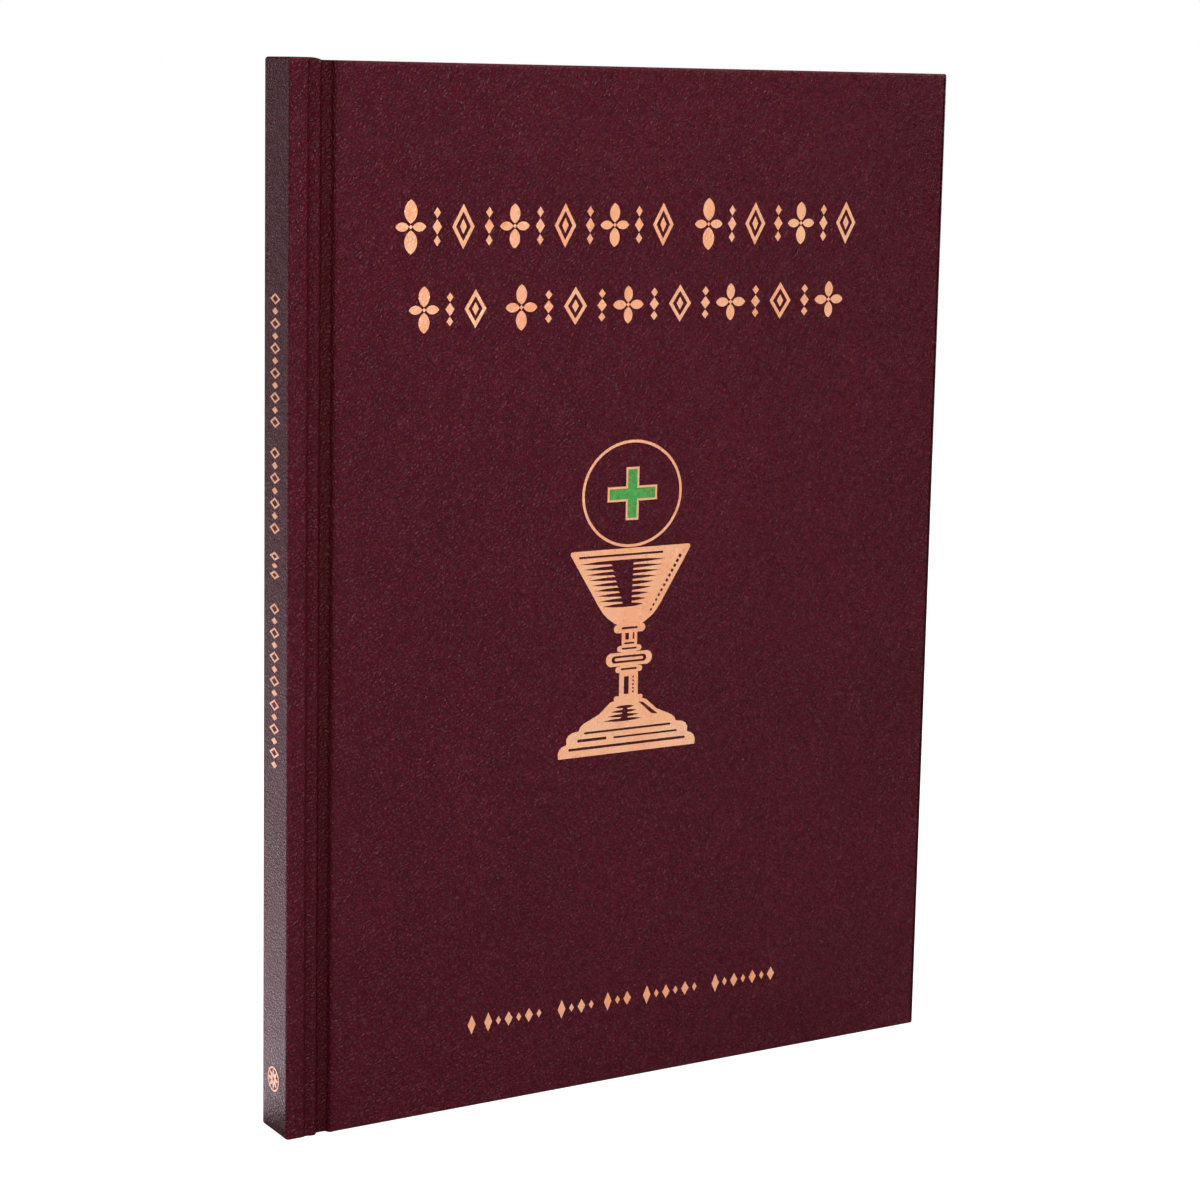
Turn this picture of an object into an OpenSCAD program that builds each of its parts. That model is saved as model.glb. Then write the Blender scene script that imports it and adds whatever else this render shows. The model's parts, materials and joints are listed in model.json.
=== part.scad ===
// Case-bound altar prayer book, square-backed, standing upright on its tail.
// X runs from the spine to the fore-edge, Y through the thickness with the front
// cover towards -Y, and Z up the height. The origin is the middle of the tail.

/* [Book] */
// Height of the covers, tail to head
book_h = 273; // [245:1:330]
// Width over the spine and the front cover
book_w = 200; // [180:1:240]
// Thickness of the closed book
book_t = 15; // [13:0.5:24]

/* [Covers] */
// Thickness of the cover boards
board_t = 2.4; // [1.8:0.1:3]
// Thickness of the leather over the boards
leather_t = 0.45; // [0.3:0.05:0.6]
// How far the covers stand out beyond the leaves
square = 3.2; // [2:0.1:5]
// Depth of the leather folded over to the inside
turn_in = 15; // [10:1:20]
// Height by which the spine stands above the covers at the head
spine_rise = 0.6; // [0:0.1:1.2]

/* [Joint] */
// Width of the flat ridge beside each spine edge
ridge_w = 5.1; // [4.6:0.1:5.8]
// Where the pressed groove starts, from the spine edge
groove_start = 9.1; // [9:0.1:10.8]
// Width of the groove along its bottom
groove_w = 2.2; // [1.6:0.1:3]
// Depth of the groove
groove_depth = 1.6; // [1:0.1:2]

/* [Leaves] */
// Leaves in each section
leaves = 8; // [4:2:12]
// Thickness of the endpapers
endpaper_t = 0.15; // [0.1:0.01:0.2]

/* [Ornament] */
// Thickness of the stamped foil
foil_t = 0.05; // [0.03:0.01:0.1]
// Width of the foil lines
line_w = 0.95; // [0.5:0.05:1.4]
// Width of the ring over the chalice
ring_w = 31; // [20:0.5:31]
// Width of the chalice over its base
chalice_w = 43; // [30:0.5:43]

/* [Hidden] */
$fn = 48;

MAROON = [0.29, 0.09, 0.13];
GOLD = [0.93, 0.66, 0.46];
GREEN = [0.20, 0.60, 0.30];
CARD = [0.55, 0.50, 0.43];
PAPER = [0.95, 0.93, 0.87];
ENDPAPER = [0.93, 0.91, 0.86];
GAUZE = [0.88, 0.86, 0.78];
THREAD = [0.90, 0.88, 0.82];

// Distances into the book from the outside of the front cover.
skin_in = leather_t;
board_in = skin_in + board_t;
turn_t = 0.3;
flap_t = 0.15;
paste_in = board_in + turn_t + endpaper_t;
flyleaf_t = 0.12;
body_gap = 0.04;
flyleaf_out = paste_in + 2 * body_gap;
flyleaf_in = flyleaf_out + flyleaf_t;
block_out = flyleaf_in + body_gap;
block_t = book_t - 2 * block_out;
section_count = 8;
section_pitch = block_t / section_count;
section_t = section_pitch - body_gap;
leaf_pitch = section_t / leaves;
leaf_share = 0.86;
leaf_t = leaf_pitch * leaf_share;

// Distances from the spine's outer face towards the fore-edge.
spine_board_t = 1.8;
ridge_board_t = 1.5;
hinge_s = groove_start + 0.4 + groove_w / 2;
hinge_gap = 0.3;
groove_end = groove_start + 0.4 + groove_w;
board_s = groove_end + 1 + leather_t;
lining_s = skin_in + spine_board_t + leather_t + 0.1;
lining_t = 0.2;
mull_s = lining_s + lining_t;
mull_t = 0.25;
thread_d = 0.4;
fold_s = mull_s + mull_t + thread_d;
flap_end = board_s + 25;
leaf_end = book_w - square;

// Heights.
leaf_low = square;
leaf_high = book_h - square;
spine_h = book_h + spine_rise;
mull_inset = 22;

// Ornament places: across the cover from the spine edge, and up from the tail.
cover_mid = book_w / 2;
upper_z = 232.3;
lower_z = 211.5;
ring_z = 161.4;
chalice_z = 91.4;
foot_z = 22.5;
spine_mid = 7.9;
roundel_z = 14.1;

// Sizes within the ornament.
upper_h = 11.4;
lower_h = 9.9;
ring_line = 0.75;
ring_ratio = 1.08;
cross_w = 15.4;
cross_h = 14.2;
cross_arm = 4;
cross_line = 0.56;

// A box given by its spine distance, its depth from the front and its height.
module slab(s0, s1, d0, d1, z0, z1)
    translate([s0 - book_w / 2, d0 - book_t / 2, z0])
        cube([s1 - s0, d1 - d0, z1 - z0]);

// What is drawn on the front side, on the back side instead.
module back_side()
    mirror([0, 1, 0])
        children();

// A flat shape in spine distance and height, laid on the front cover as foil.
module on_front()
    translate([-book_w / 2, -book_t / 2, 0])
        rotate([90, 0, 0])
            linear_extrude(foil_t)
                children();

// A flat shape in depth and height, laid on the spine as foil.
module on_spine()
    translate([-book_w / 2, -book_t / 2, 0])
        rotate([90, 0, -90])
            mirror([1, 0, 0])
                linear_extrude(foil_t)
                    children();

// ---- Covers ----

// Board of a cover, in front-cover position.
module cover_board()
    slab(board_s, book_w - leather_t, skin_in, board_in, leather_t, book_h - leather_t);

// Outline of the leather in the joint, from the groove's floor up over the board.
module cover_joint_profile()
    polygon([
        [hinge_s + hinge_gap, groove_depth],
        [groove_end, groove_depth],
        [groove_end + 0.55, 0.45],
        [groove_end + 1, 0],
        [board_s + 1, 0],
        [board_s + 1, leather_t],
        [board_s, leather_t],
        [board_s, board_in - 0.4],
        [groove_end, groove_depth + leather_t],
        [hinge_s + hinge_gap, groove_depth + leather_t]]);

// Leather of a cover: face, edges, turn-ins and the wall of the groove.
module cover_leather() {
    difference() {
        slab(board_s, book_w, 0, board_in + turn_t, 0, book_h);
        slab(board_s - 1, book_w - leather_t, skin_in, board_in,
            leather_t, book_h - leather_t);
        slab(board_s - 1, book_w - turn_in, board_in - 1, board_in + turn_t + 1,
            turn_in, book_h - turn_in);
    }
    translate([-book_w / 2, -book_t / 2, 0])
        linear_extrude(book_h)
            cover_joint_profile();
}

// Paper pasted over the board, the turn-ins and the gauze flap.
module cover_pastedown() {
    riser = 0.3;
    on_turn = board_in + turn_t;
    on_flap = board_in + flap_t;
    inner_s = book_w - turn_in - riser;
    difference() {
        slab(hinge_s + hinge_gap, leaf_end, on_turn, paste_in, leaf_low, leaf_high);
        slab(hinge_s + hinge_gap - 1, inner_s, on_turn - 1, paste_in + 1,
            turn_in + riser, book_h - turn_in - riser);
    }
    difference() {
        slab(board_s + 1, inner_s + riser, board_in, paste_in,
            turn_in, book_h - turn_in);
        slab(board_s, flap_end + riser, board_in - 1, on_flap,
            turn_in - 1, book_h - turn_in + 1);
        slab(board_s, flap_end, on_flap + endpaper_t, paste_in + 1,
            turn_in + riser, book_h - turn_in - riser);
        slab(flap_end - 0.01, inner_s, board_in + endpaper_t, paste_in + 1,
            turn_in + riser, book_h - turn_in - riser);
    }
}

// Gauze of the spine carried on to the inside of a board.
module cover_flap()
    slab(board_s, flap_end, board_in, board_in + flap_t, mull_inset, book_h - mull_inset);

module front_board()
    color(CARD) cover_board();

module front_leather()
    color(MAROON) cover_leather();

module front_pastedown()
    color(ENDPAPER) cover_pastedown();

module front_mull_flap()
    color(GAUZE) cover_flap();

module back_board()
    color(CARD) back_side() cover_board();

module back_leather()
    color(MAROON) back_side() cover_leather();

module back_pastedown()
    color(ENDPAPER) back_side() cover_pastedown();

module back_mull_flap()
    color(GAUZE) back_side() cover_flap();

// ---- Leaves ----

module flyleaf()
    slab(hinge_s + hinge_gap, leaf_end, flyleaf_out, flyleaf_in, leaf_low, leaf_high);

module front_flyleaf()
    color(ENDPAPER) flyleaf();

module back_flyleaf()
    color(ENDPAPER) back_side() flyleaf();

// Depth of the outside of a section, counted from 1 at the front.
function section_depth(number) =
    block_out + (number - 1) * section_pitch + body_gap / 2;

// The loose leaves of one section.
module section(number)
    color(PAPER)
        for (leaf = [0:leaves - 1]) {
            depth = section_depth(number) + leaf * leaf_pitch;
            slab(hinge_s + hinge_gap, leaf_end, depth, depth + leaf_t,
                leaf_low, leaf_high);
        }

// ---- Spine of the block ----

// Folded back edges of the sections, rounded where each sheet turns.
module section_folds()
    color(PAPER)
        for (number = [1:section_count]) {
            depth = section_depth(number);
            slab(fold_s + section_t / 2, hinge_s - hinge_gap, depth, depth + section_t,
                leaf_low, leaf_high);
            translate([fold_s + section_t / 2 - book_w / 2,
                    depth + section_t / 2 - book_t / 2, leaf_low])
                cylinder(d = section_t, h = leaf_high - leaf_low);
        }

// Thread that links the sections across their folds, at sewing stations in pairs.
module sewing_threads() {
    stations = 6;
    margin = 20;
    step = (book_h - 2 * margin) / (stations - 1);
    color(THREAD)
        for (station = [0:stations - 1], side = [-1, 1])
            translate([fold_s - thread_d / 2 - book_w / 2, 0,
                    margin + station * step + side * 2])
                rotate([90, 0, 0])
                    cylinder(d = thread_d, h = block_t - section_t, center = true);
}

module spine_lining()
    color(CARD)
        slab(lining_s, lining_s + lining_t, block_out, book_t - block_out,
            leaf_low + 2, leaf_high - 2);

// Gauze round the back of the block and on to its shoulders.
module mull() {
    leg_out = paste_in - 0.1;
    leg_in = leg_out + 0.13;
    color(GAUZE)
        difference() {
            slab(mull_s, hinge_s - hinge_gap, leg_out, book_t - leg_out,
                mull_inset, book_h - mull_inset);
            slab(mull_s + mull_t, hinge_s + 1, leg_in, book_t - leg_in,
                mull_inset - 1, book_h - mull_inset + 1);
        }
}

// Inner edge of an endpaper, tipped on to the first fold.
module endpaper_fold()
    slab(fold_s, hinge_s - hinge_gap, flyleaf_out, flyleaf_in, leaf_low, leaf_high);

module front_endpaper_fold()
    color(ENDPAPER) endpaper_fold();

module back_endpaper_fold()
    color(ENDPAPER) back_side() endpaper_fold();

// A woven band: a bead on the head edge of the leaves, a tape down the back of the
// block, and the web that joins them.
module end_band() {
    bead_r = 0.9;
    tape_h = 8;
    tape_s = mull_s + mull_t;
    web_h = 0.4;
    bead_s = fold_s + bead_r;
    bead_z = leaf_high + bead_r;
    color(MAROON) {
        translate([bead_s - book_w / 2, 0, bead_z])
            rotate([90, 0, 0])
                cylinder(r = bead_r, h = block_t, center = true);
        slab(tape_s, fold_s - 0.1, block_out, book_t - block_out, bead_z - tape_h, bead_z);
        slab(tape_s, bead_s, block_out, book_t - block_out, bead_z - 0.1, bead_z - 0.1 + web_h);
    }
}

module headband()
    end_band();

module tailband()
    translate([0, 0, book_h])
        mirror([0, 0, 1])
            end_band();

// ---- Spine of the case ----

// The spine's section between two distances in from its outside, closed at the back.
module spine_channel(outer, inner_back, inner_side, reach)
    difference() {
        translate([outer, outer])
            square([reach - outer, book_t - 2 * outer]);
        translate([inner_back, inner_side])
            square([reach, book_t - 2 * inner_side]);
    }

// Card spine, its edges carried round to stiffen the ridges.
module spine_board()
    color(CARD)
        translate([-book_w / 2, -book_t / 2, leather_t])
            linear_extrude(spine_h - 2 * leather_t)
                spine_channel(skin_in, skin_in + spine_board_t,
                    skin_in + ridge_board_t, ridge_w - leather_t);

// Outline of the leather on one ridge, with the soft crease and the fall to the groove.
module ridge_profile() {
    crease_d = 0.5;
    crest_d = 0.18;
    brink_d = crest_d + 0.15;
    crease_s = ridge_w + 0.9;
    crest_s = ridge_w + 2;
    polygon([
        [1, 0],
        [ridge_w - 0.2, 0],
        [ridge_w + 0.35, crease_d * 0.7],
        [crease_s, crease_d],
        [crease_s + 0.7, crease_d * 0.7],
        [crest_s, crest_d],
        [groove_start - 0.8, brink_d],
        [groove_start - 0.3, 0.9],
        [groove_start, groove_depth],
        [hinge_s - hinge_gap, groove_depth],
        [hinge_s - hinge_gap, groove_depth + leather_t],
        [groove_start - 0.4, groove_depth + leather_t],
        [groove_start - 1.1, leather_t + brink_d],
        [crest_s, leather_t + crest_d],
        [crease_s, leather_t + crease_d],
        [ridge_w, leather_t + 0.2],
        [ridge_w - 0.2, leather_t],
        [1, leather_t]]);
}

// Side view of the leather beside the spine, falling from the spine's height to the
// covers' height at the head.
module head_fall()
    translate([0, book_t + 1, 0])
        rotate([90, 0, 0])
            linear_extrude(book_t + 2)
                polygon([[0, 0], [hinge_s, 0], [hinge_s, book_h],
                    [groove_start, book_h + spine_rise * 0.2],
                    [ridge_w + 1.5, spine_h], [0, spine_h]]);

// Leather of the spine: back, ridges, both ends and the turn-ins inside them.
module spine_leather() {
    inner_back = skin_in + spine_board_t;
    inner_side = skin_in + ridge_board_t;
    reach = ridge_w - leather_t;
    color(MAROON)
        translate([-book_w / 2, -book_t / 2, 0]) {
            linear_extrude(spine_h)
                spine_channel(0, skin_in, skin_in, reach);
            for (low = [0, spine_h - leather_t])
                translate([0, 0, low])
                    linear_extrude(leather_t)
                        spine_channel(0.1, inner_back + leather_t,
                            inner_side + leather_t, reach);
            for (low = [0.1, spine_h - turn_in])
                translate([0, 0, low])
                    linear_extrude(turn_in - 0.1)
                        spine_channel(inner_back, inner_back + leather_t,
                            inner_side + leather_t, reach);
            intersection() {
                head_fall();
                union() {
                    linear_extrude(spine_h)
                        ridge_profile();
                    translate([0, book_t])
                        mirror([0, 1])
                            linear_extrude(spine_h)
                                ridge_profile();
                }
            }
        }
}

// ---- Stamped foil ----

module lozenge(wide, high)
    polygon([[0, -high / 2], [wide / 2, 0], [0, high / 2], [-wide / 2, 0]]);

// A lozenge drawn as a line of even width.
module lozenge_line(wide, high, line) {
    inside = 1 - 2 * line * norm([wide, high]) / (wide * high);
    difference() {
        lozenge(wide, high);
        lozenge(wide * inside, high * inside);
    }
}

// A pointed leaf between two arcs.
module leaf_shape(wide, high) {
    arc_r = (wide * wide + high * high) / (4 * wide);
    intersection() {
        translate([arc_r - wide / 2, 0])
            circle(arc_r);
        translate([wide / 2 - arc_r, 0])
            circle(arc_r);
    }
}

// A floret of four solid leaves round a small lozenge.
module floret(wide, high) {
    for (turn = [0:90:270]) {
        reach = turn % 180 == 0 ? high : wide;
        petal = reach * 0.44;
        rotate(turn)
            translate([0, reach / 2 - petal / 2])
                leaf_shape(petal * 0.6, petal);
    }
    lozenge(wide * 0.13, wide * 0.13);
}

// An upright lozenge in outline with a solid heart.
module lozenge_heart(wide, high, line) {
    lozenge_line(wide, high, line);
    lozenge(wide * 0.3, high * 0.34);
}

// Three small lozenges over one another.
module lozenge_stack(wide, high)
    for (level = [-1:1])
        translate([0, level * high * 0.33])
            lozenge(wide * (level == 0 ? 1 : 0.72), high * (level == 0 ? 0.36 : 0.26));

// A run of motifs between two places, with the first one taller.
module motif_run(start, end, count, high, line) {
    pitch = (end - start) / count;
    floret_w = pitch * 1.16;
    heart_w = pitch * 0.86;
    stack_w = pitch * 0.36;
    for (i = [0:count - 1]) {
        lead = i == 0 ? 1.2 : 1;
        translate([start + (i + 0.5) * pitch, 0])
            if (i % 4 == 0)
                floret(floret_w, high * lead);
            else if (i % 2 == 0)
                lozenge_heart(heart_w, high, line);
            else
                lozenge_stack(stack_w, high * 0.94);
    }
}

module title_band_upper()
    color(GOLD)
        on_front()
            translate([cover_mid, upper_z]) {
                motif_run(-70.5, 11.5, 11, upper_h, line_w);
                motif_run(18.3, 70.5, 7, upper_h, line_w);
            }

module title_band_lower()
    color(GOLD)
        on_front()
            translate([cover_mid, lower_z]) {
                motif_run(-66.5, -44.4, 3, lower_h, line_w);
                motif_run(-38.7, 65.8, 13, lower_h, line_w);
            }

// Groups of lozenges, each by its first place and its count: a tall one, then small
// and middling ones in turn.
module foot_band() {
    groups = [[-46.5, 1], [-41.5, 6], [-19, 4], [-4.5, 3], [8, 6], [30.4, 7]];
    pitch = 3.1;
    lead = [2.4, 5.2];
    middling = [2.4, 3.9];
    small = [1.5, 2.4];
    color(GOLD)
        on_front()
            translate([cover_mid, foot_z])
                for (group = groups, i = [0:group[1] - 1]) {
                    size = i == 0 ? lead : (i % 2 == 0 ? middling : small);
                    translate([group[0] + i * pitch, 0])
                        lozenge(size[0], size[1]);
                }
}

// An oval by its width and height.
module oval(wide, high)
    polygon([for (angle = [0:5:355]) [wide / 2 * cos(angle), high / 2 * sin(angle)]]);

module host_ring() {
    ring_h = ring_w / ring_ratio;
    color(GOLD)
        on_front()
            translate([cover_mid, ring_z])
                difference() {
                    oval(ring_w, ring_h);
                    oval(ring_w - 2 * ring_line, ring_h - 2 * ring_line);
                }
}

// An upright cross of equal-width arms.
module cross_shape(wide, high, arm)
    union() {
        square([wide, arm], center = true);
        square([arm, high], center = true);
    }

module cross_border()
    color(GOLD)
        on_front()
            translate([cover_mid, ring_z])
                difference() {
                    cross_shape(cross_w, cross_h, cross_arm);
                    cross_shape(cross_w - 2 * cross_line, cross_h - 2 * cross_line,
                        cross_arm - 2 * cross_line);
                }

module cross_inlay()
    color(GREEN)
        on_front()
            translate([cover_mid, ring_z])
                cross_shape(cross_w - 2 * cross_line, cross_h - 2 * cross_line,
                    cross_arm - 2 * cross_line);

// A bar with round ends.
module bar(wide, high) {
    half = (wide - high) / 2;
    polygon([for (side = [1, -1], angle = [-75:30:75])
        side * [half + high / 2 * cos(angle), high / 2 * sin(angle)]]);
}

// Silhouette of the chalice, drawn from its middle line upwards from the base.
module chalice_shape() {
    half = [[21.3, 0], [21.4, 1.4], [21, 2.5], [20.2, 3.2], [18.8, 3.7], [18.9, 5.1],
        [18.3, 6.1], [17.2, 6.7], [15.2, 7], [14.6, 8.1], [13.6, 8.9], [9, 10.9],
        [5.6, 13.8], [2.9, 14.5], [2.9, 20.6], [2.4, 29], [2.4, 34], [4.6, 34.9],
        [6.8, 36.4], [8.3, 37.9], [9.7, 39.9], [18.5, 54], [18.4, 54.7], [17.9, 54.9]];
    mirrored = [for (i = [len(half) - 1:-1:0]) [-half[i][0], half[i][1]]];
    polygon(concat(half, mirrored));
    for (knob = [[33.4, 9.8, 2.3], [28, 7.6, 1.6], [25.2, 14.4, 3.8], [22.4, 8.4, 1.7],
            [14.6, 9, 1.5]])
        translate([0, knob[0]])
            bar(knob[1], knob[2]);
}

// A shadow with a comb of pointed hatching lines on both sides, drawn from its top.
// Each side is given by its core's width and its lines' reach, and by how much both
// shrink from one line to the next.
module hatched_shadow(lines, spacing, thick, left, right) {
    belly = 0.45;
    function tip(shape, side, i) = let (
            core = shape[0] - shape[2] * i,
            end = shape[1] - shape[3] * i,
            middle = core + (end - core) * belly,
            level = -i * spacing) [
        [side * core, level + thick * 0.5],
        [side * middle, level + thick * 0.4],
        [side * end, level],
        [side * middle, level - thick * 0.36],
        [side * core, level - thick * 0.5]];
    down = [for (i = [0:lines - 1]) each tip(left, -1, i)];
    up = [for (i = [lines - 1:-1:0], k = [4:-1:0]) tip(right, 1, i)[k]];
    polygon(concat(down, up));
}

// Lines left unstamped in the bowl: the shadow, the rim's line and a row of dashes.
module bowl_cuts() {
    top = 51.4;
    shadow_lines = 9;
    translate([-0.8, top])
        hatched_shadow(shadow_lines, 1.46, 1.02, [5.4, 14.8, 0.5, 0.86], [1.6, 11.6, 0.05, 0.84]);
    translate([-3, top + 1.8])
        bar(26, 0.6);
    for (i = [0:11])
        translate([15.3 - i * 0.8, top + 0.4 - i * 1.26])
            rotate(-33)
                square([0.86 - i * 0.03, 0.9 - i * 0.02], center = true);
}

// Lines left unstamped on the stem, the knobs and the stepped foot.
module stem_and_foot_cuts() {
    for (line = [[0, 33.5, 5, 0.62], [0, 29.4, 3.2, 0.5], [0, 28, 4.6, 0.5],
            [0, 22.5, 5, 0.55], [0, 6.3, 27, 0.62], [0, 2.2, 36.4, 0.75],
            [-11, 4.4, 9, 0.8], [5.6, 4.3, 20, 0.55]])
        translate([line[0], line[1]])
            bar(line[2], line[3]);
    translate([0, 25.2])
        difference() {
            bar(10.8, 2);
            bar(8.8, 0.8);
        }
    for (slit = [[-0.75, 31.3, 1.15, 1.8], [1.25, 31.3, 0.5, 1.8], [-0.7, 18.1, 1.5, 4.8]])
        translate([slit[0], slit[1]])
            square([slit[2], slit[3]], center = true);
    for (i = [0:4])
        translate([1.4, 16.2 + i])
            square(0.52, center = true);
    translate([-0.8, 12.3])
        hatched_shadow(4, 1.15, 0.84, [0.7, 3.4, -0.25, -1.2], [0.6, 2.7, -0.05, -0.8]);
    polygon([[3.4, 13.2], [4.6, 13.1], [9.4, 9.5], [7.4, 9.7]]);
}

module chalice() {
    drawn_w = 42.6;
    color(GOLD)
        on_front()
            translate([cover_mid, chalice_z])
                scale(chalice_w / drawn_w)
                    difference() {
                        chalice_shape();
                        bowl_cuts();
                        stem_and_foot_cuts();
                    }
}

// Runs of lozenges down the spine, in four groups from the top.
module spine_band() {
    groups = [[216.1, 182.4, 11], [177.8, 155.7, 7], [151.4, 144.3, 3], [138.4, 95.3, 14]];
    wide = 5.8;
    color(GOLD)
        on_spine()
            for (group = groups, i = [0:group[2] - 1]) {
                pitch = (group[0] - group[1]) / group[2];
                translate([spine_mid, group[0] - (i + 0.5) * pitch])
                    if (i % 2 == 0)
                        lozenge_line(wide, pitch * 0.94, line_w * 0.55);
                    else
                        lozenge(wide * 0.6, pitch * 0.6);
            }
}

// A plain wheel of petals in a ring, near the tail of the spine.
module spine_roundel() {
    roundel_r = 3.3;
    rim = 0.5;
    petals = 8;
    color(GOLD)
        on_spine()
            translate([spine_mid, roundel_z]) {
                difference() {
                    circle(roundel_r);
                    circle(roundel_r - rim);
                }
                for (i = [0:petals - 1])
                    rotate(i * 360 / petals)
                        translate([0, roundel_r / 2 - 0.1])
                            leaf_shape(0.95, roundel_r - 0.9);
            }
}

front_board();
front_leather();
front_pastedown();
front_mull_flap();
title_band_upper();
title_band_lower();
host_ring();
cross_border();
cross_inlay();
chalice();
foot_band();
back_board();
back_leather();
back_pastedown();
back_mull_flap();
front_flyleaf();
back_flyleaf();
section(1);  // section_1
section(2);  // section_2
section(3);  // section_3
section(4);  // section_4
section(5);  // section_5
section(6);  // section_6
section(7);  // section_7
section(8);  // section_8
section_folds();
sewing_threads();
spine_lining();
mull();
front_endpaper_fold();
back_endpaper_fold();
headband();
tailband();
spine_board();
spine_leather();
spine_band();
spine_roundel();
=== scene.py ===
"""Looks of the case-bound prayer book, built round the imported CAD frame."""

import json
import math
import random

import bmesh
import bpy
import numpy as np
from mathutils import Matrix, Vector, noise


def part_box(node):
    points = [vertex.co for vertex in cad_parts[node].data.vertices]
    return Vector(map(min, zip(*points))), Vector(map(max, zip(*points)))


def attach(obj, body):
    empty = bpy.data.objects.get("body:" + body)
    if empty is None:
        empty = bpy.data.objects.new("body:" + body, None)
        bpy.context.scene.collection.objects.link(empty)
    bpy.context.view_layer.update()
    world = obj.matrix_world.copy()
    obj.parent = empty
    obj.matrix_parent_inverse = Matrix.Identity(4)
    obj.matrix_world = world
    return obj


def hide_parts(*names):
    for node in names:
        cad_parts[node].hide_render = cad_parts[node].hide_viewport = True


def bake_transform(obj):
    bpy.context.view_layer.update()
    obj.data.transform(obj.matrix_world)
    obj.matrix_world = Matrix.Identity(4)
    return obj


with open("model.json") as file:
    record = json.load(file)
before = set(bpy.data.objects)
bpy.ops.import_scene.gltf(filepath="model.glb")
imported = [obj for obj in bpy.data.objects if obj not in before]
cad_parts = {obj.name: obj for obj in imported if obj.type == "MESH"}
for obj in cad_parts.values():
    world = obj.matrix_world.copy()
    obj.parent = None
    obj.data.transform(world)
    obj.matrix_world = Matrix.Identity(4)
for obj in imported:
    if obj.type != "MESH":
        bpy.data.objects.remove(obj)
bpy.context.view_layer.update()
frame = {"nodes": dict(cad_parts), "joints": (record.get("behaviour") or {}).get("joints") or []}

random.seed(7)
MM = 0.001

# ---- Sizes read from the frame, in millimetres ----
# s runs from the spine's outside towards the fore-edge, d inwards from the outside of a
# cover, and z up from the tail.


def box_mm(node):
    low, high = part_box(node)
    return low / MM, high / MM


leather_low, leather_high = box_mm("front_leather")
HALF_W = leather_high.x
HALF_T = -leather_low.y
BOOK_H = leather_high.z
TOTAL_IN = leather_high.y + HALF_T
board_low = box_mm("front_board")[0]
SKIN = board_low.y + HALF_T
BOARD_S = board_low.x + HALF_W
SPINE_H = box_mm("spine_leather")[1].z
RIDGE_END = box_mm("spine_board")[1].x + HALF_W
paste_low, paste_high = box_mm("front_pastedown")
LEAF_END = paste_high.x + HALF_W
LEAF_LOW, LEAF_HIGH = paste_low.z, paste_high.z
PASTE_IN = paste_high.y + HALF_T
JOINTS = {j["name"]: j for j in frame["joints"]}
HINGE = JOINTS["front_cover_hinge"]["pos_m"][0] / MM + HALF_W
GAP = paste_low.x + HALF_W - HINGE
# How far the leather is turned in over an edge, and how deep the joint's groove is.
TURN_IN = 15.0
GROOVE_D = 1.6


def place(points, side):
    """Points in (s, d, z) millimetres as frame metres, for the front (1) or back (-1)."""
    p = np.asarray(points, float)
    out = np.empty_like(p)
    out[..., 0] = (p[..., 0] - HALF_W) * MM
    out[..., 1] = side * (p[..., 1] - HALF_T) * MM
    out[..., 2] = p[..., 2] * MM
    return out


# ---- Materials ----


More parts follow.
